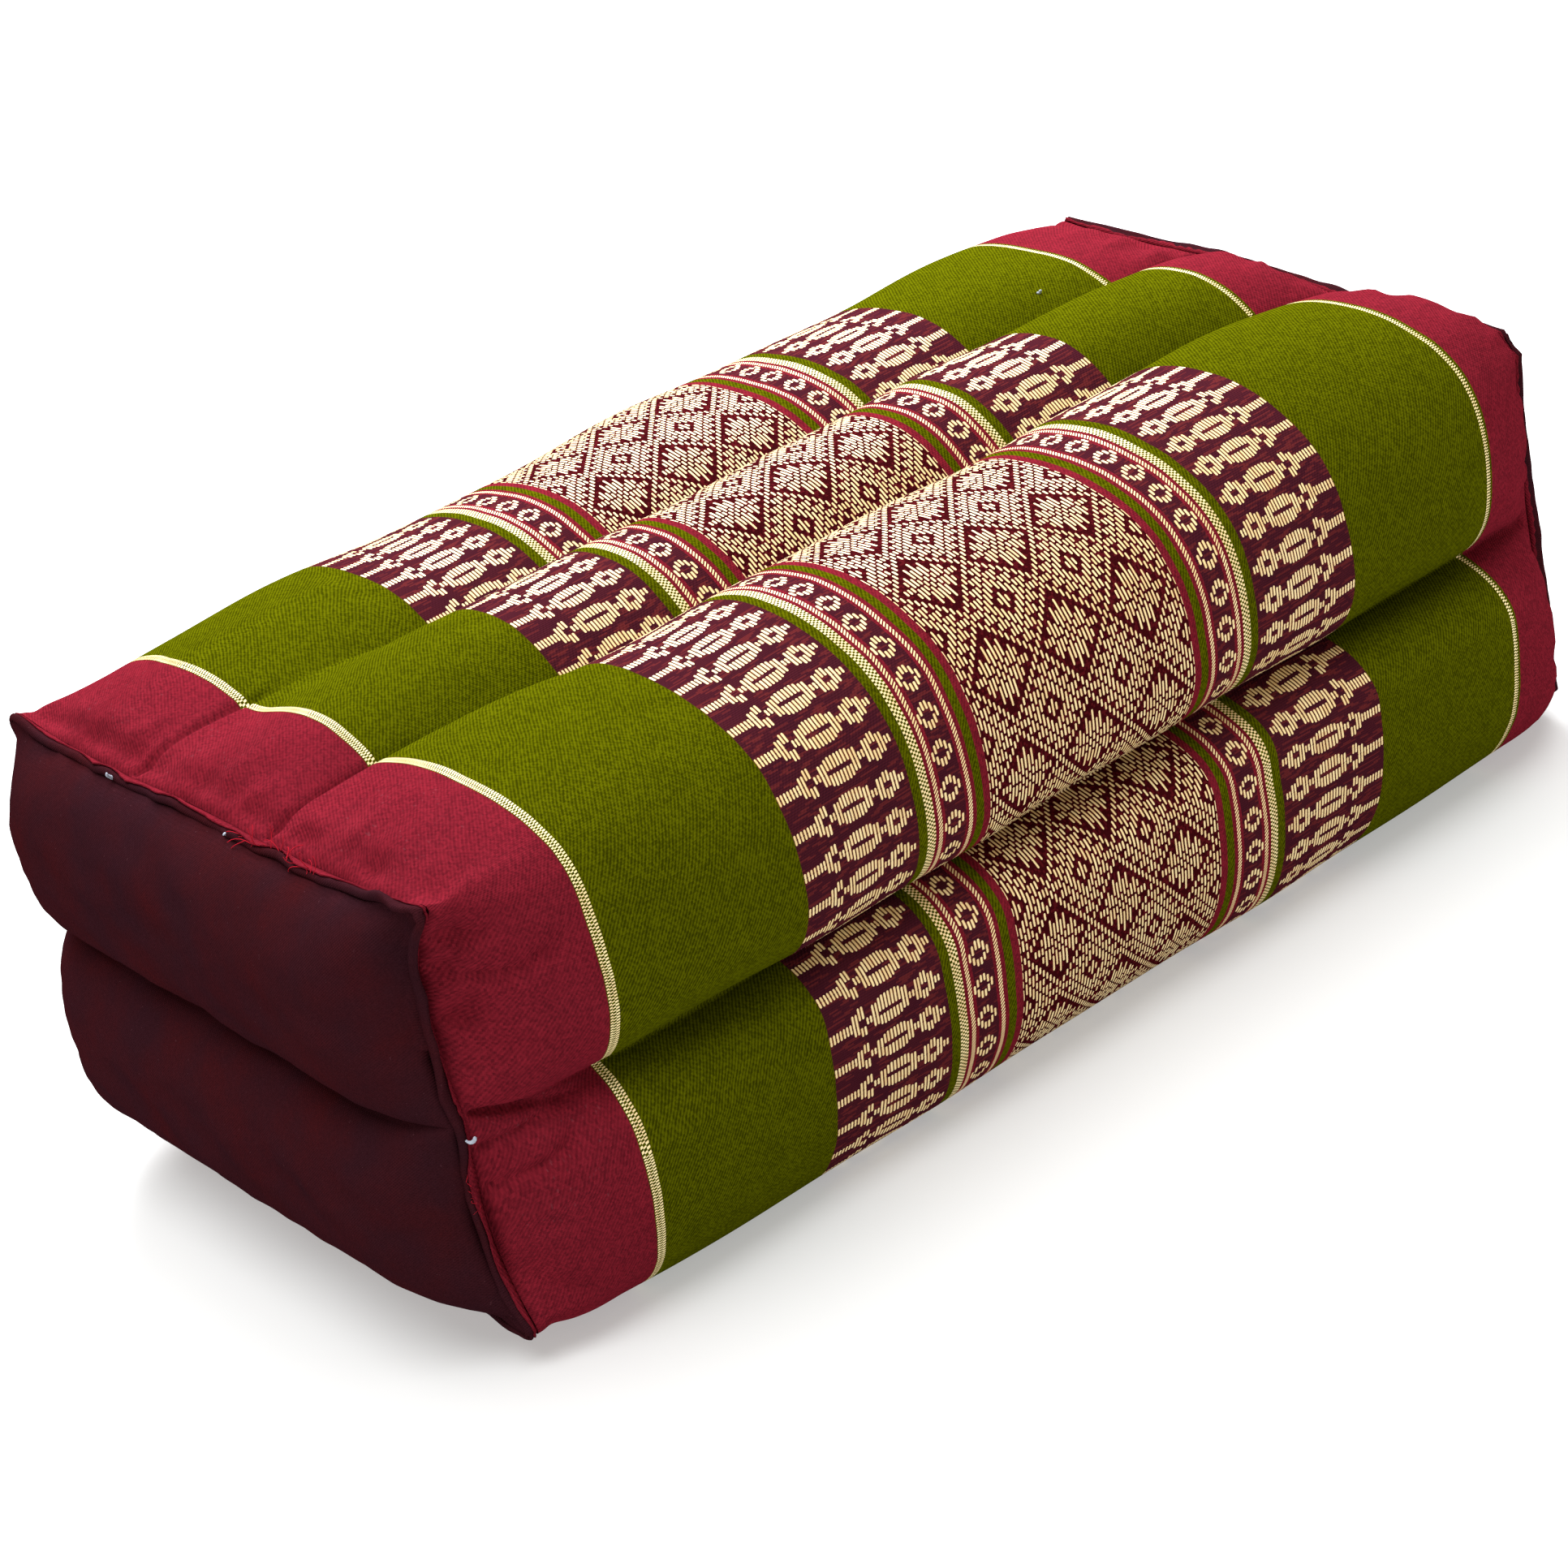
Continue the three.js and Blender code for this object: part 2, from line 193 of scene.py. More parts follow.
# Weave: widths of its columns, picks and repeats, and edges from the middle of the wrap
COLUMN = 1.065
PICK = 1.302
FLOWER_REPEAT = 9.55
FIELD_EDGE = 33.0
CHAIN_EDGE = 41.4
CHAIN_COLUMN = 1.07
BAND_EDGE = 90.2
BAND_COLUMN = 0.994
PIPING_EDGE = 141.0
LINES = ((38.8, 40.0), (48.2, 49.4))
NET = (50.4, 52.9)
FIGURE_SCALE = 0.95
SILK = 0.35

# Ground colours, each from a distance from the middle of the wrap outwards
STRIPES = (
    (33.0, "crimson"), (35.2, "green"), (37.6, "crimson"), (40.9, "ground"), (47.2, "crimson"),
    (50.4, "green"), (55.5, "ground"), (90.2, "green"), (143.4, "crimson"),
)

# A quarter of the field's repeat from a flower's centre, in rows of picks and columns of yarn
FIELD_CHART = """
.#...###..#
#.###....#.
.#.###..#..
###.#..#.##
###...#...#
#.#..#.###.
#...#...#.#
...#.###.##
..#...#.##.
.#.###.##..
#...#.##..#
.###.##..##
""".split()
FIELD_COLUMNS = 20
FIELD_ROWS = 22

# Floats of one band figure, column by column from its tail to its tip, each from and to a
# distance from the figure's axis
FIGURE_COLUMNS = (
    (7, 0, 1.3), (2, 0, 2.7), (2, 1.1, 3.8), (2, 0, 1.0), (2, 0, 2.8), (1, 0.6, 3.5),
    (5, 0.6, 3.8), (1, 0.6, 3.5), (2, 0, 2.8), (2, 0, 1.0), (2, 0, 2.8), (2, 0.9, 3.6),
    (2, 0, 2.5), (2, 0, 1.0), (1, 9, 9),
)

# Floats of one small flower of the chains
CHAIN_COLUMNS = ((1, 0, 1.3), (1, 0.4, 2.7), (2, 1.4, 3.6), (1, 0.4, 2.7), (1, 0, 1.3))


def signed_power(value, exponent):
    """Keeps the sign of a value raised to a power."""
    return np.sign(value) * np.abs(value) ** exponent


def facing_angle(tube, half, groove):
    """Angle on a tube's rounded outline that faces a groove."""
    across = (groove.y - tube.y) / half
    rise = (groove.z - tube.z) / (tube.up if groove.z > tube.z else tube.down)
    return math.atan2(signed_power(rise, ROUNDNESS / 2), signed_power(across, ROUNDNESS / 2))


def outline(tube, half, angle):
    across = signed_power(np.cos(angle), 2 / ROUNDNESS)
    rise = signed_power(np.sin(angle), 2 / ROUNDNESS)
    height = np.where(rise > 0, tube.up, tube.down)
    return np.stack([tube.y + half * across, tube.z + height * rise], -1)


def drifted(groove, x):
    """A groove at one x: the channels grow shallower and wander a little near the near end."""
    share = min(max((-x - DRIFT_X) / (SEAM_X - DRIFT_X), 0.0), 1.0) ** DRIFT_POWER
    return groove._replace(y=groove.y + groove.drift[0] * share, z=groove.z + groove.drift[1] * share)


def full_section(tube, t, x):
    """Points of the full section on one tube, with t from 0 at its first groove to 1."""
    first, last = drifted(GROOVES[tube.first], x), drifted(GROOVES[tube.last], x)
    half = tube.half + tube.taper * x / SEAM_X
    start = facing_angle(tube, half, first)
    finish = facing_angle(tube, half, last)
    if finish < start:
        finish += 2 * math.pi
    points = outline(tube, half, start + (finish - start) * t)
    to_first = np.array([first.y, first.z]) - outline(tube, half, np.array(start))
    to_last = np.array([last.y, last.z]) - outline(tube, half, np.array(finish))
    points = points + np.outer((1 - t) ** STITCH_PULL, to_first)
    points = points + np.outer(t ** STITCH_PULL, to_last)
    points[:, 1] = np.maximum(points[:, 1], 0)
    return points


def seam_edge(groove, corner, share, upright, bow):
    """Points of an end seam between a groove and a corner, with share 0 at the groove."""
    share_y = share ** FLARE_SIDE if upright else share
    share_z = share if upright else share ** FLARE_LEVEL
    inwards = bow * np.sin(np.pi * share) if upright and groove[0] < 0 else 0
    y = groove[0] + (corner[0] - groove[0]) * share_y + inwards
    z = groove[1] + (corner[1] - groove[1]) * share_z
    return np.stack([y, z], -1)


def seam_point(groove, end):
    """Where a groove meets an end seam."""
    return getattr(GROOVES[groove], end.name)


def seam_section(tube, t, end):
    """Points of an end seam on one tube, with its corner blunted over a small part of t."""
    first = seam_point(tube.first, end)
    last = seam_point(tube.last, end)
    at_end = getattr(tube, end.name)
    if tube.side_first is None:
        y = first[0] + (last[0] - first[0]) * t
        z = first[1] + (last[1] - first[1]) * t + at_end * np.sin(np.pi * t)
        return np.stack([y, z], -1)

    def sharp(t):
        share = np.clip(2 * t, 0, 1)
        from_first = seam_edge(first, at_end, share, tube.side_first, end.bow)
        share = np.clip(2 - 2 * t, 0, 1)
        from_last = seam_edge(last, at_end, share, not tube.side_first, end.bow)
        return np.where((t < 0.5)[:, None], from_first, from_last)

    spread = end.corner * np.exp(-((t - 0.5) / (CORNER_BLEND * end.corner)) ** 2)
    return (sharp(t - spread) + sharp(t + spread)) / 2


def drawn_in(x, power):
    """How far a tube has drawn in towards the seam, from 0 at the shoulder to 1."""
    reach = (abs(x) - SHOULDER_X) / (SEAM_X - SHOULDER_X)

    def bend(share):
        return 1 - (1 - (share * SHOULDER_REACH) ** power) ** (1 / power)

    return bend(reach) / bend(1) if reach > 0 else 0.0


def tube_steps(tube):
    """Places round one tube, closer together at its grooves."""
    count = MIDDLE_STEPS if tube.side_first is None else CORNER_STEPS
    share = np.arange(count) / count
    return (1 - CROWDING) * share + CROWDING * (0.5 - 0.5 * np.cos(np.pi * share))


def ring(x):
    """Points round the block at one x, as rows of y and z."""
    end = ENDS["near"] if x < 0 else ENDS["far"]
    parts = []
    for tube in TUBES:
        t = tube_steps(tube)
        full = full_section(tube, t, x)
        seam = seam_section(tube, t, end)
        power = np.interp(full[:, 1], (30, 90), (end.low_power, end.high_power))
        share = np.array([drawn_in(x, each) for each in power])[:, None]
        parts.append(full + (seam - full) * share)
    return np.concatenate(parts)


def stations():
    """Places of the rings along the block, closer together towards the seams."""
    flat = np.linspace(-SHOULDER_X, SHOULDER_X, FLAT_BANDS + 1)
    turn = (math.pi / 2) * np.arange(1, SHOULDER_BANDS + 1) / SHOULDER_BANDS
    reach = SHOULDER_X + (SEAM_X - SHOULDER_X) * np.sin(turn)
    return np.concatenate([-reach[::-1], flat, reach])


def cloth_places():
    """For each tube, how far round it each of its points lies, from its woven flower."""
    places = []
    for tube in TUBES:
        t = np.append(tube_steps(tube), 1.0)
        steps = np.diff(full_section(tube, t, 0.0), axis=0)
        along = np.concatenate([[0], np.cumsum(np.hypot(steps[:, 0], steps[:, 1]))])
        places.append(along - tube.phase)
    return places


def with_x(x, flat):
    """Rows of y and z with an x before them."""
    return np.concatenate([np.broadcast_to(x, flat.shape[:-1])[..., None], flat], -1)


def smoothed(values, rounds):
    """Values round a ring, each averaged with its neighbours some times over."""
    for _ in range(rounds):
        values = (np.roll(values, 1, 0) + values * 2 + np.roll(values, -1, 0)) / 4
    return values


def bell(distance, middle, width):
    """1 at a middle distance, falling to 0 on both sides of it."""
    return np.exp(-((distance - middle) / width) ** 2)


def soft_noise(points, size, seed, waves=7):
    """Smooth, seeded unevenness between about -1 and 1 at points in millimetres."""
    rng = np.random.default_rng(seed)
    total = np.zeros(points.shape[:-1])
    for _ in range(waves):
        way = rng.normal(size=3)
        way /= norm(way)
        pitch = size * rng.uniform(0.7, 1.5)
        total += np.sin(points @ way * (2 * math.pi / pitch) + rng.uniform(0, 2 * math.pi))
    return total / math.sqrt(waves)


def pressed(points, face, crease):
    """Depth that a crease presses into the wrap at each point."""
    start_x, start_across, stop_x, stop_across, depth, width = crease
    x, y, z = np.moveaxis(points, -1, 0)
    across, held = {
        "top": (y, z > PRESSED_Z), "front": (z, y < -PRESSED_Y), "back": (z, y > PRESSED_Y),
    }[face]
    x = x - start_x
    across = across - start_across
    run_x, run_across = stop_x - start_x, stop_across - start_across
    whole_run = math.hypot(run_x, run_across)
    along = (x * run_x + across * run_across) / whole_run
    aside = (x * run_across - across * run_x) / whole_run
    past = np.maximum(np.maximum(-along, along - whole_run), 0)
    ease = np.clip((whole_run - along) / (whole_run * 0.4), 0, 1)
    shape = np.exp(-(np.abs(aside) / width) ** 1.4 - (past / width) ** 2)
    return depth * shape * (0.35 + 0.65 * ease) * held


def pillow_rise(distance):
    """Rise of a pillow at a distance from its edge, from 0 to 1."""
    share = np.clip(distance / PILLOW_EDGE, 0, 1)
    return (1 - (1 - share) ** PILLOW_POWER) ** PILLOW_FALL


def swell(end, y, z):
    """How far an end swells out of its seam's plane: two pillows and the crease between."""
    front_y, front_z = seam_point("side_front", end)
    back_y, back_z = seam_point("side_back", end)
    place = (y - front_y) / (back_y - front_y)
    crease_z = front_z + (back_z - front_z) * place
    upper = z > crease_z

    def level(side):
        low = seam_point(f"{side}_front", end)[1]
        high = seam_point(f"{side}_back", end)[1]
        return low + (high - low) * place

    level_z = np.where(upper, level("top"), level("bottom"))
    climb = np.clip((z - crease_z) / (level_z - crease_z), 0, 1)
    bowed = end.bow * np.sin(np.pi * climb)
    from_side = np.minimum(y - front_y - bowed, back_y - y)
    from_level = (1 - climb) * np.abs(level_z - crease_z)
    full = np.where(upper, end.upper, end.lower) * pillow_rise(from_level)
    height = CREASE_HEIGHT + (full - CREASE_HEIGHT) * pillow_rise(np.abs(z - crease_z))
    return pillow_rise(from_side) * height


def unit(vectors):
    """The vectors brought to a length of 1."""
    return vectors / norm(vectors, axis=-1)[..., None]


def mitres(points):
    """Outward direction at each point of a ring in its plane, longer at a corner."""
    def edge_normals(first, second):
        step = second - first
        return unit(np.stack([step[:, 1], -step[:, 0]], -1))

    before = edge_normals(np.roll(points, 1, 0), points)
    after = edge_normals(points, np.roll(points, -1, 0))
    turn = np.maximum(1 + (before * after).sum(1), SHARPEST_TURN)
    return (before + after) / turn[:, None]


def patch_edges():
    """Numbers of a ring's points along the four edges of an end: bottom and top from the front,
    front and back from the bottom."""
    half = CORNER_STEPS // 2
    wide = CORNER_STEPS + MIDDLE_STEPS
    count = 2 * wide + 2 * CORNER_STEPS
    bottom = half + np.arange(wide + 1)
    back = bottom[-1] + np.arange(CORNER_STEPS + 1)
    top = back[-1] + np.arange(wide + 1)[::-1]
    front = (half - np.arange(CORNER_STEPS + 1)) % count
    return bottom, top, front, back


def end_patch(end):
    """Grid of points over one end, from its front edge to its back one and from its bottom
    seam to its top seam."""
    seam = ring(end.side * SEAM_X)
    bottom, top, front, back = (seam[edge] for edge in patch_edges())

    def shares(first, second, axis):
        line = (first + second)[:, axis]
        share = (line - line[0]) / (line[-1] - line[0])
        return np.maximum.accumulate(share)

    across = shares(bottom, top, 0)[:, None, None]
    up = shares(front, back, 1)[None, :, None]
    corners = (
        bottom[0] * (1 - across) * (1 - up) + bottom[-1] * across * (1 - up)
        + top[0] * (1 - across) * up + top[-1] * across * up
    )
    grid = bottom[:, None] * (1 - up) + top[:, None] * up
    grid = grid + front[None] * (1 - across) + back[None] * across - corners
    x = end.side * (SEAM_X + swell(end, grid[..., 0], grid[..., 1]))
    x[0] = x[-1] = end.side * SEAM_X
    x[:, 0] = x[:, -1] = end.side * SEAM_X
    return with_x(x, grid)


def set_rim(grid, points):
    """Puts a ring's points on the four edges of a grid."""
    bottom, top, front, back = patch_edges()
    grid[:, 0] = points[bottom]
    grid[:, -1] = points[top]
    grid[0] = points[front]
    grid[-1] = points[back]


class Lip:
    """The seam allowance that stands along one end: its foot, its height and its two ways."""

    def __init__(self, end, wear):
        seed = wear.seed + LIP_SEED
        seam = ring(end.side * SEAM_X)
        self.away = np.array([end.side, 0.0, 0.0])
        self.seam = with_x(end.side * SEAM_X, seam)
        outwards = smoothed(mitres(seam), OUTWARDS_ROUNDS)
        outwards /= np.maximum(norm(outwards, axis=1), 1)[:, None]
        outwards = with_x(0, outwards)
        self.foot = self.seam + self.away * GAP
        bottom, top, _, _ = patch_edges()
        corners = seam[[bottom[0], bottom[-1], top[0], top[-1]]]
        apart = norm(seam[:, None] - corners[None], axis=-1).min(1)
        blunt = 1 - LIP_BLUNT * bell(apart, 0, LIP_CORNER)
        size = np.full(len(seam), LIP_HEIGHT)
        lean = np.full(len(seam), LIP_LEAN)
        if end.side < 0:
            y, z = seam.T
            front = y < LIP_FRONT_Y
            size = smoothed(np.where(front, np.interp(z, *LIP_HEIGHTS), LIP_HEIGHT), LIP_ROUNDS)
            lean += smoothed(front * np.interp(z, *LIP_LEANING), LIP_ROUNDS)
            blunt = np.where((y < -60) & (z > 60), 1, blunt)
        uneven = 0.22 * soft_noise(self.seam, 24, seed) + 0.13 * soft_noise(self.seam, 7, seed + 1)
        self.height = size * blunt * (1 + end.wild * uneven)
        lean += end.wild * 0.3 * soft_noise(self.seam, 17, seed + 2)
        self.along = np.cos(lean)[:, None] * self.away + np.sin(lean)[:, None] * outwards
        self.thick = np.sin(lean)[:, None] * self.away - np.cos(lean)[:, None] * outwards

    def row(self, share, across):
        """Points along the lip at a share of its height and a distance across it."""
        return self.foot + self.along * (self.height * share)[:, None] + self.thick * across


def cell_corners(table):
    """The four corners of each cell of a table, in order round it."""
    return np.stack([table[:-1, :-1], table[1:, :-1], table[1:, 1:], table[:-1, 1:]], 2)


def linked(name, data):
    """A new object in the scene."""
    made = bpy.data.objects.new(name, data)
    bpy.context.scene.collection.objects.link(made)
    return made


class MeshParts:
    """Collects the points, faces and cloth places of one piece."""

    def __init__(self):
        self.points = []
        self.faces = []
        self.places = []

    def add(self, points):
        """Adds an array of points and returns their numbers in the same shape."""
        start = sum(len(flat) for flat in self.points)
        self.points.append(points.reshape(-1, 3))
        return start + np.arange(len(self.points[-1])).reshape(points.shape[:-1])

    def quads(self, numbers, flipped=False, places=None, closed=False):
        """Faces between neighbouring rows and columns of a table of numbers."""
        if closed:
            numbers = np.concatenate([numbers, numbers[:, :1]], 1)
        if places is None:
            places = np.zeros(numbers.shape + (2,))
        faces = cell_corners(numbers).reshape(-1, 4)
        spots = cell_corners(places).reshape(-1, 4, 2)
        if flipped:
            faces, spots = faces[:, ::-1], spots[:, ::-1]
        self.faces.append(faces)
        self.places.append(spots)

    def object(self, name):
        """Makes the piece, with its doubled points merged."""
        mesh = bpy.data.meshes.new(name)
        points = np.concatenate(self.points)
        points[:, 0] += SHIFT_X
        faces = np.concatenate(self.faces)
        mesh.from_pydata((points * MM).tolist(), [], faces.tolist())
        layer = mesh.uv_layers.new(name="cloth")
        layer.data.foreach_set("uv", np.concatenate(self.places).astype(np.float32).ravel())
        clean = bmesh.new()
        clean.from_mesh(mesh)
        bmesh.ops.remove_doubles(clean, verts=clean.verts, dist=1e-6)
        bmesh.ops.dissolve_degenerate(clean, edges=clean.edges, dist=1e-7)
        clean.to_mesh(mesh)
        clean.free()
        mesh.polygons.foreach_set("use_smooth", [True] * len(mesh.polygons))
        return linked(name, mesh)


def add_node(tree, kind, inputs=None, **settings):
    """A new node with its settings, and then its sockets' values or links."""
    node = tree.nodes.new(kind)
    for key, value in settings.items():
        setattr(node, key, value)
    for key, value in (inputs or {}).items():
        value = getattr(value, "socket", value)
        if isinstance(value, bpy.types.NodeSocket):
            tree.links.new(value, node.inputs[key])
        else:
            node.inputs[key].default_value = value
    return node


def operator(operation, turned=False):
    """A method that adds a Math node for two values, in turned order where asked."""
    def method(self, other):
        pair = (other, self) if turned else (self, other)
        return self.bench.math(operation, *pair)

    return method


class Wire:
    """An output socket of a material. Its operators add Math nodes."""

    def __init__(self, bench, socket):
        self.bench = bench
        self.socket = socket

    __add__ = operator("ADD")
    __radd__ = operator("ADD", turned=True)
    __sub__ = operator("SUBTRACT")
    __rsub__ = operator("SUBTRACT", turned=True)
    __mul__ = operator("MULTIPLY")
    __truediv__ = operator("DIVIDE")
    __gt__ = operator("GREATER_THAN")
    __lt__ = operator("LESS_THAN")
    __rpow__ = operator("POWER", turned=True)
    __mod__ = operator("FLOORED_MODULO")


class Bench:
    """Builds one material's node tree."""

    def __init__(self, name):
        self.material = bpy.data.materials.new(name)
        self.material.use_nodes = True
        self.tree = self.material.node_tree
        self.tree.nodes.clear()

    def node(self, kind, inputs=None, output=0, **settings):
        """Adds a shader node and returns one of its outputs."""
        made = add_node(self.tree, f"ShaderNode{kind}", inputs, **settings)
        return Wire(self, made.outputs[output])

    def math(self, operation, *values):
        return self.node("Math", dict(enumerate(values)), operation=operation)

    def lookup(self, place, stops):
        """Colour of the last stop at or before a place from 0 to 1."""
        node = add_node(self.tree, "ShaderNodeValToRGB", {0: place})
        ramp = node.color_ramp
        ramp.interpolation = "CONSTANT"
        while len(ramp.elements) < len(stops):
            ramp.elements.new(1.0)
        for element, (start, colour) in zip(ramp.elements, stops):
            element.position = start
            element.color = (*colour, 1.0)
        return Wire(self, node.outputs[0])

    def mix(self, factor, first, second):
        """Mix of two colours."""
        first, second = (
            colour if isinstance(colour, Wire) else (*colour, 1.0) for colour in (first, second)
        )
        return self.node("Mix", {0: factor, 6: first, 7: second}, output=2, data_type="RGBA")

    def parts(self, vector):
        """The three numbers of a vector or colour."""
        node = add_node(self.tree, "ShaderNodeSeparateXYZ", {0: vector})
        return [Wire(self, socket) for socket in node.outputs]

    def join(self, x, y, z=0.0):
        return self.node("CombineXYZ", {0: x, 1: y, 2: z})

    def noise(self, vector, scale, detail=2.0, roughness=0.5):
        """Noise from 0 to 1."""
        inputs = {"Vector": vector, "Scale": scale, "Detail": detail, "Roughness": roughness}
        return self.node("TexNoise", inputs)

    def speckle(self, x, y):
        """A random number for each whole pair of numbers."""
        return self.node("TexWhiteNoise", {"Vector": self.join(x, y)}, noise_dimensions="2D")

    def between(self, value, low, high):
        return (value > low) * (value < high)

    def absolute(self, value):
        return self.math("ABSOLUTE", value)

    def whole(self, value):
        return self.math("FLOOR", value)

    def largest(self, first, *others):
        for other in others:
            first = self.math("MAXIMUM", first, other)
        return first

    def wave(self, value, pitch):
        return self.math("SINE", value * (2 * math.pi / pitch))

    def fold(self, value, period):
        """Distance from the middle of the nearest repeat."""
        return self.absolute(self.math("WRAP", value, period / 2, -period / 2))

    def object_place(self):
        """Object coordinates."""
        return self.node("TexCoord", output=3)

    def surface(self, shader):
        """Uses a shader for the surface and returns the material."""
        add_node(self.tree, "ShaderNodeOutputMaterial", {"Surface": shader})
        return self.material

    def finish(self, colour, roughness, height, bump, silk=0.0):
        """Adds the cloth's shader, silky where silk is 1, and returns the material."""
        normal = self.node("Bump", {"Strength": 1.0, "Distance": bump, "Height": height})
        shader = self.node("BsdfPrincipled", {
            "Base Color": colour, "Roughness": roughness, "Normal": normal,
            "Specular IOR Level": 0.0, "Coat Weight": silk, "Coat Roughness": 0.45, "Coat IOR": 2.0,
        })
        return self.surface(shader)


def column_extents(bench, count, columns):
    """Where each column's floats start and end, from a table of widths and extents. A colour runs
    from 0 to 1, so it holds the extents as tenths."""
    total = sum(width for width, _, _ in columns)
    stops = []
    place = 0
    for width, start, stop in columns:
        stops.append((place / total, (start / 10, stop / 10, 0.0)))
        place += width
    start, stop, _ = bench.parts(bench.lookup((count + 0.5) / total, stops))
    return start * 10, stop * 10, bench.between(count, -0.5, total - 0.5)


def chart_cell(bench, column, row):
    """1 where the field's chart has a float, for a whole column and row from its corner."""
    stops = []
    for index, line in enumerate(FIELD_CHART):
        mask = sum(2 ** place for place, mark in enumerate(line) if mark == "#")
        value = mask / 2 ** len(line)
        stops.append((index / len(FIELD_CHART), (value, value, value)))
    looked_up = bench.lookup((row + 0.5) / len(FIELD_CHART), stops)
    masks = bench.parts(looked_up)[0] * 2 ** len(FIELD_CHART[0])
    return bench.whole((masks + 0.25) / 2 ** column) % 2


def wrap_material(settings):
    """The striped cloth with its raised cream figures."""
    bench = Bench("striped_wrap_cloth")
    whole, between, absolute, fold = bench.whole, bench.between, bench.absolute, bench.fold
    noise, wave, speckle = bench.noise, bench.wave, bench.speckle
    largest, mix = bench.largest, bench.mix
    cloth = bench.node("UVMap", uv_map="cloth")
    u, v, _ = bench.parts(cloth)
    waver = noise(cloth, 0.06, 1.0)
    u = u + (waver - 0.5) * 1.1
    v = v + (noise(bench.join(v, u, 5.0), 0.05, 1.0) - 0.5) * 1.6
    side = absolute(u)

    # Yarn columns
    column_place = u / COLUMN
    column = whole(column_place + 0.5)
    across = (column_place - column) * 2
    across_squared = across * across
    tone = speckle(column, whole(v / 6.0))
    taper = across_squared * 0.9
    body = across_squared < 0.33

    # Field
    field_column = fold(column, FIELD_COLUMNS)
    ends = 0.36 - taper

    def cell(shift):
        row = whole((v + shift) / PICK + 0.5)
        return chart_cell(bench, field_column, fold(row, FIELD_ROWS))

    field = largest(cell(ends), cell(ends * -1.0)) * (side < FIELD_EDGE) * body

    # Band figures and chain flowers, on their own axes
    axis = fold(v, FLOWER_REPEAT)

    def figure(place, table):
        count = whole(place)
        cross = (place - count - 0.5) * 2
        cross_squared = cross * cross
        start, stop, held = column_extents(bench, count, table)
        low = start * FIGURE_SCALE + cross_squared * 0.4 - 0.05
        inside = between(axis, low, stop * FIGURE_SCALE - cross_squared * 0.6)
        return inside * held * (cross_squared < 0.5), cross_squared

    bands, band_cross = figure((BAND_EDGE - side) / BAND_COLUMN, FIGURE_COLUMNS)
    chains, chain_cross = figure((side - CHAIN_EDGE) / CHAIN_COLUMN, CHAIN_COLUMNS)

    # Cream lines of short slanted stitches, the net between two of them, and the piping
    twisted = ((v + u * 0.9) % 1.0) < 0.54
    lines = largest(*(between(side, low, high) * twisted for low, high in LINES))
    net_column = whole((side - NET[0]) / 0.62)
    net = between(side, *NET) * (((v / 1.15 + net_column * 0.5) % 1.0) < 0.5)
    cord_row = whole((side - PIPING_EDGE) / 0.8)
    cord_turn = (v + cord_row * 0.43 + u * 0.2) / 0.86
    outer_row = absolute(cord_row - 1) > 0.5
    piping = between(side, PIPING_EDGE, 143.2 - (u > 0) * 0.6)
    piping = piping * ((cord_turn % 1.0) < outer_row * 0.16 + 0.38)

    trim = largest(lines, net, piping)
    cream = largest(field, bands, chains, trim)
    # The floats' edges: the bump lowers them, and the colour paints them with dull cream as shade where the
    # yarn rounds away
    rim = field * across_squared * 2.2 + bands * band_cross * 1.8
    rim = rim + chains * chain_cross * 1.8 + (trim - piping) * 0.1

    # Ground colours by stripe
    grain_u = wave(u, 0.55)
    grain_v = wave(v, 0.6)
    twill = wave(u * 0.85 + v * 0.52, 0.8)
    dots = twill * (grain_u * 0.35 + 0.65)
    fleck = speckle(whole(u / 0.55), whole(v / 0.7))
    pick = whole(v / 0.45)
    streak = speckle(whole(u / 2.6 + pick * 0.37), pick)
    cloudy = noise(cloth, 0.12, 3.0)
    shade = dots * 0.55 + 0.46 + (fleck - 0.5) * 0.6 + (cloudy - 0.5) * 0.3
    green = mix(shade, settings.green_dark, settings.green)
    shade = dots * 0.28 + fleck * 0.6 + cloudy * 0.36 + 0.05
    crimson = mix(shade, settings.crimson_dark, settings.crimson)
    shade = (streak > 0.74) * 0.6 + cloudy * 0.3 + grain_v * 0.1
    ground = mix(shade, settings.ground, settings.ground_fleck)
    hairs = noise(bench.join(u * 0.9, v * 0.4), 1.1, 3.0) > 0.67
    fuzz = hairs * between(u, -170.0, -147.0) * between(v, -42.0, -4.0)
    bloom = noise(cloth, 0.07) * noise(cloth, 1.3)
    crimson = mix(fuzz * 0.15 + bloom * 0.05, crimson, settings.lint)
    colours = {"crimson": crimson, "green": green, "ground": ground}
    # The field ground between the floats: dark maroon cloth painted darker still as shade between the
    # raised floats, with random lighter flecks
    colour = mix((fleck > 0.7) * 0.6 + cloudy * 0.4, settings.gap, settings.gap_fleck)
    for edge, name in STRIPES:
        colour = mix(side > edge, colour, colours[name])
    # Dull cream is painted shade at the floats' edges, and also a random duller tone on whole columns
    cream_colour = mix(rim * 0.8 + tone * 0.35, settings.cream, settings.cream_dark)
    colour = mix(cream, colour, cream_colour)

    height = cream * (1 - rim * 0.6) * 0.8 - trim * 0.25
    height = height + (twill * 0.1 + grain_v * 0.04) * (1 - cream)
    return bench.finish(colour, 0.86 - cream * 0.22, height, 0.5 * MM, cream * SILK)


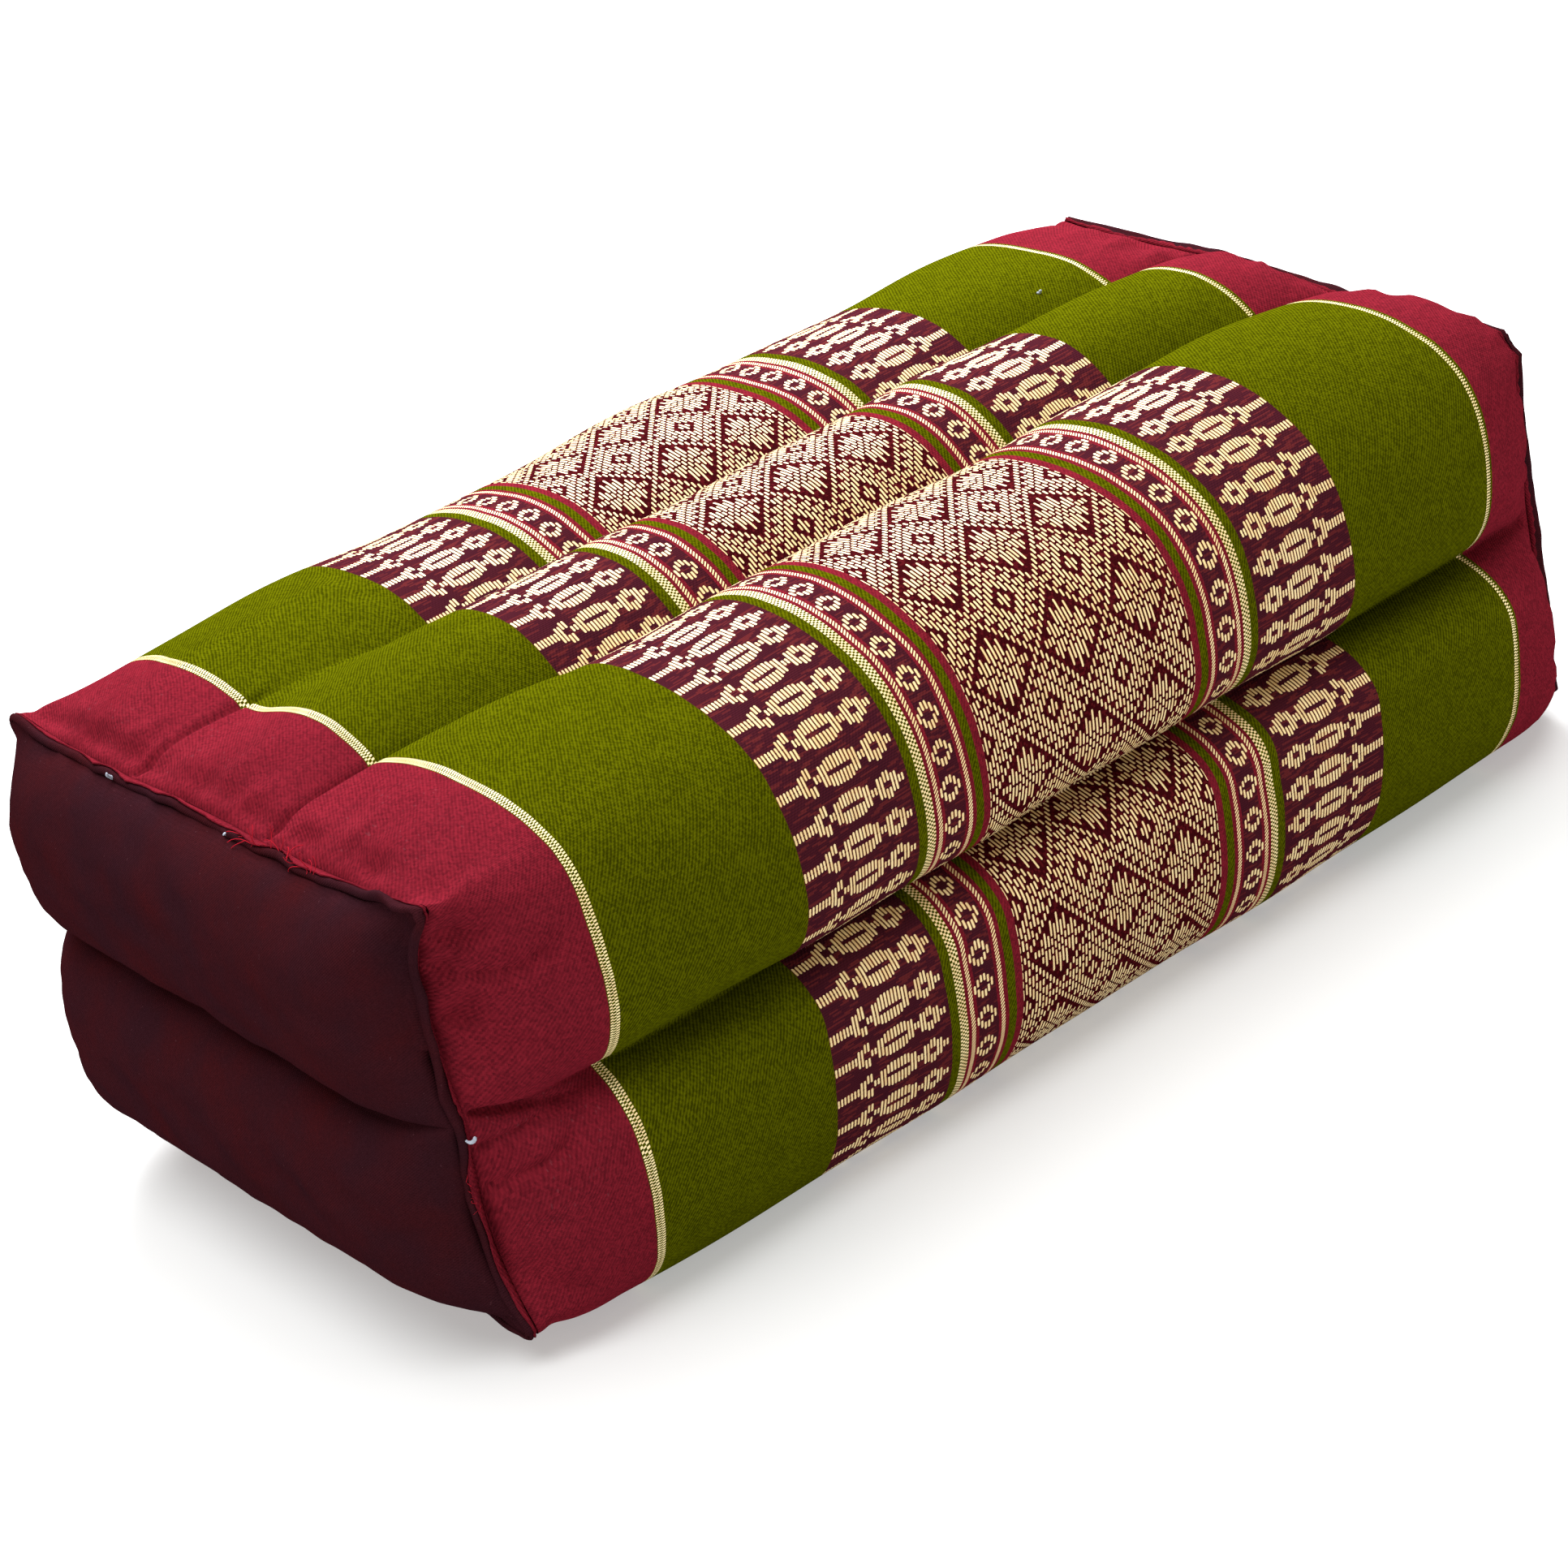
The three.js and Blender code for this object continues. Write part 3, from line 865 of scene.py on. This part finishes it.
def end_material(settings):
    """Matte dark wine cotton, a little dusty and linty."""
    bench = Bench("dark_end_cloth")
    place = bench.object_place()
    _, y, z = bench.parts(place)
    threads = bench.wave(y, 0.75 * MM) * bench.wave(z, 0.7 * MM)
    cloudy = bench.noise(place, 16.0, 4.0, 0.6)
    patch = bench.noise(place, 60.0, 3.0)
    grain = bench.noise(place, 420.0, 2.0, 0.6)
    colour = bench.mix((cloudy - 0.3) * 2.4, settings.end_dark, settings.end)
    colour = bench.mix((patch * 0.6 + cloudy * 0.4 - 0.4) * 3.0, colour, settings.end_warm)
    colour = bench.mix(grain * 0.5, colour, settings.end_dark)
    colour = bench.mix(bench.noise(place, 1400.0, 1.0) * 0.7 - 0.12, colour, settings.end_pit)
    lint = bench.noise(place, 700.0, 3.0, 0.7) > 0.7
    colour = bench.mix(lint * 0.14, colour, settings.lint)
    height = threads * 0.25 + patch * 0.3
    return bench.finish(colour, 0.92 + threads * 0.02, height, 0.35 * MM)


def thread_material(name, colour):
    """Cotton thread with a slight twist of light and dark."""
    bench = Bench(name)
    place = bench.object_place()
    twist = bench.noise(place, 1500.0, 2.0, 0.6)
    shades = bench.mix(twist, [channel * 0.6 for channel in colour], colour)
    return bench.finish(shades, 0.9 - twist * 0.1, twist, 0.05 * MM)


def colour_property(name, *colour):
    return FloatVectorProperty(
        name=name, description=f"{name} of the cloth", subtype="COLOR", size=3,
        min=0.0, max=1.0, default=colour,
    )


def number(name, description, default, **kind):
    return FloatProperty(name=name, description=description, default=default, **kind)


def angle(name, description, degrees):
    return number(name, description, math.radians(degrees), subtype="ANGLE")


def length(name, description, default):
    return number(name, description, default, subtype="DISTANCE", unit="LENGTH")


COLOURS = {
    "green": ("Green", 0.092, 0.101, 0.001),
    "green_dark": ("Dark green", 0.028, 0.031, 0.0004),
    "crimson": ("Crimson", 0.195, 0.0115, 0.022),
    "crimson_dark": ("Dark crimson", 0.082, 0.0053, 0.0105),
    "ground": ("Figure ground", 0.036, 0.0065, 0.013),
    "ground_fleck": ("Ground fleck", 0.115, 0.017, 0.018),
    # The field ground is painted darker than its cloth, as shade between the raised floats
    "gap": ("Field ground", 0.024, 0.002, 0.003),
    "gap_fleck": ("Field ground fleck", 0.085, 0.006, 0.009),
    "cream": ("Cream yarn", 0.98, 0.81, 0.43),
    # Dull cream yarn is painted shade at the floats' edges as well as the yarn's random duller tone
    "cream_dark": ("Dull cream yarn", 0.6, 0.3, 0.07),
    "end": ("End cloth", 0.037, 0.0076, 0.01),
    "end_dark": ("Dark end cloth", 0.029, 0.0083, 0.0127),
    "end_pit": ("Shade between end threads", 0.016, 0.0035, 0.0055),
    "end_warm": ("Worn end cloth", 0.061, 0.0062, 0.0069),
    "thread": ("Frayed thread", 0.45, 0.015, 0.03),
    "bit": ("Pale thread", 0.5, 0.55, 0.66),
    "lint": ("Lint", 0.22, 0.08, 0.1),
}


class CushionColours(bpy.types.PropertyGroup):
    """Colours of the wrap and of the end panels."""

    __annotations__ = {name: colour_property(*given) for name, given in COLOURS.items()}


class CushionStage(bpy.types.PropertyGroup):
    """Camera, floor and light."""

    azimuth: angle("Azimuth", "Direction in which the camera looks", 33.046)
    elevation: angle("Elevation", "How far down the camera looks", 26.624)
    roll: angle("Roll", "Turn of the camera about its own view", 13.183)
    lens: number("Lens", "Focal length on a 36 mm wide sensor", 88.40, unit="CAMERA")
    overhead: number("Overhead light", "Strength of the wide light above", 4.05)
    softness: angle("Softness", "Angle over which the light above spreads", 60)
    back: number("Back light", "Power of the soft panel behind, in watts", 30.0)
    sky: number("Surroundings", "Strength of the light from all round", 0.61)
    floor: number("Floor", "Share of light that the pale floor gives back", 0.45)
    glow: number("Floor glow", "Light that the pale floor adds to itself", 0.37)


class CushionWear(bpy.types.PropertyGroup):
    """Unevenness of the filling and of the hand sewing."""

    lumps: length("Lumps", "Depth of the filling's unevenness", 0.0007)
    puckers: length("Puckers", "Depth of the folds along the end seams", 0.0013)
    valley: length("Valley", "Depth to which the seams draw the wrap in", 0.0010)
    fray: length("Fray", "Length of the threads at the raw edges", 0.0046)
    seed: IntProperty(name="Seed", description="Start of the random numbers", default=11)


def adopt(piece, slot, *nodes):
    """Hands a finished piece to the frame."""
    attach(piece, "root")
    if nodes:
        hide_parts(*nodes)


CAMERA_PLACE = (-0.4966, -0.7425, 0.4957)
SENSOR_WIDTH = 36.0
FLOOR_CORNERS = ((-20, -20, 0), (20, -20, 0), (20, 20, 0), (-20, 20, 0))
SKY_COLOUR = (1.0, 0.93, 0.82, 1.0)
LAMP_COLOUR = (0.96, 0.98, 1.0)


def add_lamp(name, kind, energy, place):
    """Adds a lamp that shines on the cushion, and returns its settings."""
    data = bpy.data.lights.new(name, kind)
    data.energy = energy
    data.color = LAMP_COLOUR
    lamp = linked(name, data)
    lamp.location = place
    lamp.rotation_euler = (-lamp.location).to_track_quat("-Z", "Y").to_euler()
    return data


class CUSHION_OT_stage(bpy.types.Operator):
    """Add the camera, the floor and the soft light"""

    bl_idname = "cushion.stage"
    bl_label = "Stage"

    def execute(self, context):
        stage = context.scene.cushion_stage
        camera_data = bpy.data.cameras.new("camera")
        camera_data.lens = stage.lens
        camera_data.sensor_width = SENSOR_WIDTH
        camera = linked("camera", camera_data)
        level = Vector((math.sin(stage.azimuth), math.cos(stage.azimuth), 0.0))
        ahead = level * math.cos(stage.elevation)
        ahead.z = -math.sin(stage.elevation)
        right = ahead.cross(Vector((0.0, 0.0, 1.0))).normalized()
        down = ahead.cross(right)
        turned = right * math.cos(stage.roll) + down * math.sin(stage.roll)
        up = turned.cross(ahead)
        axes = Matrix((turned, up, -ahead)).transposed().to_4x4()
        camera.matrix_world = Matrix.Translation(CAMERA_PLACE) @ axes
        context.scene.camera = camera

        floor_mesh = bpy.data.meshes.new("floor")
        floor_mesh.from_pydata(FLOOR_CORNERS, [], [(0, 1, 2, 3)])
        floor = linked("floor", floor_mesh)
        bench = Bench("pale_floor")
        shade = bench.noise(bench.object_place(), 3.0) * 0.01 + stage.floor
        shader = bench.node("BsdfPrincipled", {
            "Base Color": bench.join(shade, shade, shade), "Roughness": 0.9,
            "Specular IOR Level": 0.0, "Emission Color": (1.0, 1.0, 1.0, 1.0),
            "Emission Strength": stage.glow,
        })
        floor_mesh.materials.append(bench.surface(shader))

        world = bpy.data.worlds.new("surroundings")
        world.use_nodes = True
        background = world.node_tree.nodes["Background"]
        background.inputs[0].default_value = SKY_COLOUR
        background.inputs[1].default_value = stage.sky
        context.scene.world = world
        overhead = add_lamp("overhead", "SUN", stage.overhead, (-0.15, 0.0, 1.6))
        overhead.angle = stage.softness
        back = add_lamp("back_panel", "AREA", stage.back, (0.5, 0.75, 0.65))
        back.size = 0.7
        context.scene.view_settings.view_transform = "Standard"
        return {"FINISHED"}


def add_raw_edge(parts, end, wear):
    """The wrap's own raw edge, standing behind the panel's turned edge."""
    lip = Lip(end, wear)
    top = RAW_TOP + 0.12 * soft_noise(lip.seam, 16, wear.seed + 8)
    if end.side < 0:
        # It stands out low on the front edge and along the top, and hides high on the front edge
        _, y, z = lip.seam.T
        shows = ((y < -70) & (z > 16) & (z < 57)) | ((z > 100) & (y < 62) & (y > -60))
        window = np.full(2 * RAW_BLUR + 1, 1 / (2 * RAW_BLUR + 1))
        shown = np.convolve(np.pad(shows * 1.0, RAW_BLUR, "wrap"), window, "valid")
        hidden = (y < -62) & (z > 64)
        top = top + 0.6 * shown - 0.25 * hidden
    top = np.maximum(top + 0.1 * soft_noise(lip.seam, 2.2, wear.seed + 9), RAW_LEAST)
    rows = [lip.row(top * share + rest, across) for share, rest, across in RAW_EDGE]
    strip = np.stack(rows)
    strip = np.concatenate([strip, strip[:, :1]], 1)
    places = np.zeros(strip.shape[:2] + (2,))
    places[..., 0] = end.side * (SEAM_X + np.arange(len(rows)))[:, None]
    places[..., 1] = np.arange(strip.shape[1])[None, :] * 1.6
    parts.quads(parts.add(strip), flipped=end.side < 0, places=places)


def plump(points, wear, stitched):
    """Uneven filling, small folds gathered along the end seams, and the creases."""
    along = points[..., 0]
    outwards = np.gradient(points, axis=1)
    lengthwise = np.gradient(points, axis=0)
    normals = np.cross(lengthwise, outwards)
    normals /= np.maximum(norm(normals, axis=-1), 1e-9)[..., None]
    from_middle = points[..., 1:] - (0, MIDDLE_Z)
    normals *= np.sign((from_middle * normals[..., 1:]).sum(-1))[..., None]
    lumps = soft_noise(points, 55, wear.seed) * wear.lumps / MM
    seam = SEAM_X - np.abs(along)
    folds = soft_noise(points * (0.25, 1, 1), 17, wear.seed + 1)
    folds = (0.5 - np.abs(folds)) * bell(seam, *PUCKER_BAND)
    moved = lumps * np.clip(seam / 25, 0, 1) + folds * wear.puckers / MM
    valley = 1 + 0.5 * soft_noise(points * (0, 1, 1), 21, wear.seed + 3)
    moved -= wear.valley / MM * valley * bell(seam, *VALLEY_BAND)
    held = np.clip(seam / 3, 0, 1) * np.clip(points[..., 2] / 8, 0, 1)
    plumped = points + normals * (moved * held)[..., None]
    held = np.clip(seam / 2, 0, 1)
    for face, creases in CREASES.items():
        for crease in creases:
            depth = pressed(points, face, crease) * held
            plumped += np.array(PRESSED_WAY[face]) * depth[..., None]
    shown = np.interp(along, *STITCH_SHOWN)
    for column in stitched:
        apart = norm(points - points[:, column][:, None], axis=-1)
        plumped[..., 2] -= STITCH_DEPTH * np.exp(-(apart / STITCH_WIDTH) ** 1.3) * shown
    return plumped


class CUSHION_OT_wrap(bpy.types.Operator):
    """Add the filled block in its striped wrap"""

    bl_idname = "cushion.wrap"
    bl_label = "Filled wrap"

    def execute(self, context):
        wear = context.scene.cushion_wear
        along = stations()
        rings = np.stack([ring(x) for x in along])
        points = with_x(along[:, None], rings)
        starts = np.cumsum([0] + [len(tube_steps(tube)) for tube in TUBES])
        points = plump(points, wear, starts[4:6])
        parts = MeshParts()
        numbers = parts.add(points)
        for start, stop, places in zip(starts, starts[1:], cloth_places()):
            columns = np.arange(start, stop + 1) % rings.shape[1]
            spots = np.stack(np.broadcast_arrays(along[:, None], places[None, :]), -1)
            parts.quads(numbers[:, columns], flipped=True, places=spots)
        for end in ENDS.values():
            grid = end_patch(end)
            set_rim(grid, points[0 if end.side < 0 else -1])
            spots = np.full(grid.shape[:2] + (2,), SEAM_X * end.side)
            parts.quads(parts.add(grid), flipped=end.side > 0, places=spots)
            add_raw_edge(parts, end, wear)
        piece = parts.object("striped_wrap")
        piece.data.materials.append(wrap_material(context.scene.cushion_colours))
        adopt(piece, "wrap_cloth", "filled_block")
        return {"FINISHED"}


def end_panel(end, wear):
    """A panel with its two faces and its turned edge standing round it."""
    grid = end_patch(end)
    lip = Lip(end, wear)
    rows = [lip.row(share, across) for share, across in LIP_PROFILE]
    rows.append(lip.foot)
    inside = grid + lip.away * GAP
    wrinkle = soft_noise(grid * (0, 1.0, 1.6), 30, wear.seed + 5) * 0.5
    wrinkle += soft_noise(grid * (0, 0.7, 1.8), 11, wear.seed + 6) * 0.2
    outside = grid + lip.away * (GAP + CLOTH + np.maximum(wrinkle, -0.9)[..., None])
    set_rim(inside, lip.foot)
    set_rim(outside, rows[0])
    parts = MeshParts()
    parts.quads(parts.add(outside), flipped=end.side > 0)
    parts.quads(parts.add(inside), flipped=end.side < 0)
    parts.quads(parts.add(np.stack(rows)), flipped=end.side < 0, closed=True)
    return parts.object(f"{end.name}_end_cloth")


class CUSHION_OT_end_panels(bpy.types.Operator):
    """Add the two plain end panels with their turned edges"""

    bl_idname = "cushion.end_panels"
    bl_label = "End panels"

    def execute(self, context):
        wear = context.scene.cushion_wear
        material = end_material(context.scene.cushion_colours)
        for end in ENDS.values():
            piece = end_panel(end, wear)
            piece.data.materials.append(material)
            adopt(piece, "end_cloth", f"{end.name}_end_panel")
        return {"FINISHED"}


def thread_tree(material):
    """Geometry nodes that set short bent threads along a line."""
    tree = bpy.data.node_groups.new("threads_along_line", "GeometryNodeTree")
    for name, kind in (("Line", "Geometry"), ("Spacing", "Float"), ("Length", "Float"),
                       ("Radius", "Float"), ("Seed", "Int")):
        tree.interface.new_socket(name, in_out="INPUT", socket_type=f"NodeSocket{kind}")
    tree.interface.new_socket("Threads", in_out="OUTPUT", socket_type="NodeSocketGeometry")
    given = tree.nodes.new("NodeGroupInput").outputs

    def node(kind, inputs, output=0, **settings):
        return add_node(tree, kind, inputs, **settings).outputs[output]

    line = node("GeometryNodeMeshToCurve", {"Mesh": given["Line"]})
    spots = node(
        "GeometryNodeResampleCurve", {"Curve": line, "Length": given["Spacing"]}, mode="LENGTH"
    )
    bent = node("GeometryNodeCurveQuadraticBezier", {
        "Resolution": 5, "Start": (0.0, 0.0, -0.2), "Middle": (0.35, 0.15, 0.7),
        "End": (0.9, -0.2, 0.75),
    })
    profile = node("GeometryNodeCurvePrimitiveCircle", {"Resolution": 4, "Radius": given["Radius"]})
    thread = node("GeometryNodeCurveToMesh", {
        "Curve": bent, "Profile Curve": profile, "Fill Caps": True,
    })
    turned = node("FunctionNodeRandomValue", {
        0: (-1.3, -1.3, 0.0), 1: (1.3, 1.3, 2 * math.pi), "Seed": given["Seed"],
    }, data_type="FLOAT_VECTOR")
    shares = node("FunctionNodeRandomValue", {
        2: 0.25, 3: 1.0, "Seed": given["Seed"],
    }, output=1, data_type="FLOAT")
    sizes = node("ShaderNodeMath", {0: shares, 1: given["Length"]}, operation="MULTIPLY")
    placed = node("GeometryNodeInstanceOnPoints", {
        "Points": spots, "Instance": thread, "Rotation": turned, "Scale": sizes,
    })
    real = node("GeometryNodeRealizeInstances", {"Geometry": placed})
    dressed = node("GeometryNodeSetMaterial", {"Geometry": real, "Material": material})
    add_node(tree, "NodeGroupOutput", {0: dressed})
    return tree


def frayed_threads(context, wear, material):
    """Short threads along the raw edge at the near end."""
    lip = Lip(ENDS["near"], wear)
    edge = lip.row(*FRAYED_ROW)
    edge[:, 0] += SHIFT_X
    _, y, z = lip.seam.T
    top = np.where((z > 100) & (y > FRAYED_TOP[0]) & (y < FRAYED_TOP[1]))[0]
    side = np.where((y < -70) & (z > FRAYED_SIDE[0]) & (z < FRAYED_SIDE[1]))[0]
    points = np.concatenate([edge[top], edge[side]]) * MM
    edges = [(i, i + 1) for i in range(len(points) - 1) if i != len(top) - 1]
    mesh = bpy.data.meshes.new("frayed_threads")
    mesh.from_pydata(points.tolist(), edges, [])
    piece = linked("frayed_threads", mesh)
    modifier = piece.modifiers.new("threads", "NODES")
    modifier.node_group = thread_tree(material)
    given = dict(Spacing=FRAYED_SPACING, Length=wear.fray, Radius=FRAYED_RADIUS, Seed=wear.seed)
    for item in modifier.node_group.interface.items_tree:
        if item.name in given and item.in_out == "INPUT":
            modifier[item.identifier] = given[item.name]
    graph = context.evaluated_depsgraph_get()
    made = bpy.data.meshes.new_from_object(piece.evaluated_get(graph))
    piece.modifiers.clear()
    piece.data = made
    return piece


def thread_bits(wear):
    """Small curls of pale yarn, each given by where it lies."""
    parts = MeshParts()
    for index, (place, size) in enumerate(BITS):
        rng = np.random.default_rng(wear.seed + index)
        turn = np.linspace(0, 1, 9)
        curl = rng.uniform(3.0, 4.6)
        bend = 0.3 * np.cos(curl * turn) - 0.3
        line = np.stack([0.22 * np.sin(curl * turn), bend, turn - 0.5], -1)
        line = np.array(place) + line @ rng.permutation(np.eye(3)) * size
        ahead = unit(np.gradient(line, axis=0))
        aside = unit(np.cross(ahead, (0.3, 0.9, 0.2)))
        above = np.cross(ahead, aside)
        angles = np.linspace(0, 2 * math.pi, 7)[:-1, None]
        thick = BIT_THICKNESS * np.sin(np.pi * np.clip(turn, 0.06, 0.94)) ** 0.4
        rows = line[:, None] + thick[:, None, None] * (
            aside[:, None] * np.cos(angles) + above[:, None] * np.sin(angles)
        )
        numbers = parts.add(rows)
        parts.quads(numbers, flipped=True, closed=True)
        for row, flipped in ((numbers[0], False), (numbers[-1], True)):
            parts.quads(row[[[0, 1], [3, 2]]], flipped=flipped)
            parts.quads(row[[[0, 5], [3, 4]]], flipped=not flipped)
    return parts.object("pale_thread_bits")


class CUSHION_OT_threads(bpy.types.Operator):
    """Add the frayed threads and the loose bits of yarn"""

    bl_idname = "cushion.threads"
    bl_label = "Loose threads"

    def execute(self, context):
        wear = context.scene.cushion_wear
        colours = context.scene.cushion_colours
        frayed = frayed_threads(context, wear, thread_material("frayed_thread", colours.thread))
        adopt(frayed, "wrap_cloth")
        bits = thread_bits(wear)
        bits.data.materials.append(thread_material("pale_thread", colours.bit))
        adopt(bits, "wrap_cloth")
        return {"FINISHED"}


class CUSHION_PT_panel(bpy.types.Panel):
    """Lists the cushion's pieces"""

    bl_idname = "CUSHION_PT_panel"
    bl_label = "Support cushion"
    bl_space_type = "VIEW_3D"
    bl_region_type = "UI"
    bl_category = "Cushion"

    def draw(self, context):
        for name in OPERATOR_ORDER:
            self.layout.operator(f"cushion.{name}")


OPERATOR_ORDER = ("stage", "wrap", "end_panels", "threads")
SETTINGS = {
    "cushion_colours": CushionColours, "cushion_stage": CushionStage, "cushion_wear": CushionWear,
}
CLASSES = (
    *SETTINGS.values(), CUSHION_OT_stage, CUSHION_OT_wrap, CUSHION_OT_end_panels,
    CUSHION_OT_threads, CUSHION_PT_panel,
)


def register():
    for item in CLASSES:
        bpy.utils.register_class(item)
    for name, group in SETTINGS.items():
        setattr(bpy.types.Scene, name, PointerProperty(type=group))


def unregister():
    for name in SETTINGS:
        delattr(bpy.types.Scene, name)
    for item in reversed(CLASSES):
        bpy.utils.unregister_class(item)


def main():
    register()
    for name in OPERATOR_ORDER:
        getattr(bpy.ops.cushion, name)()


if __name__ == "__main__":
    main()
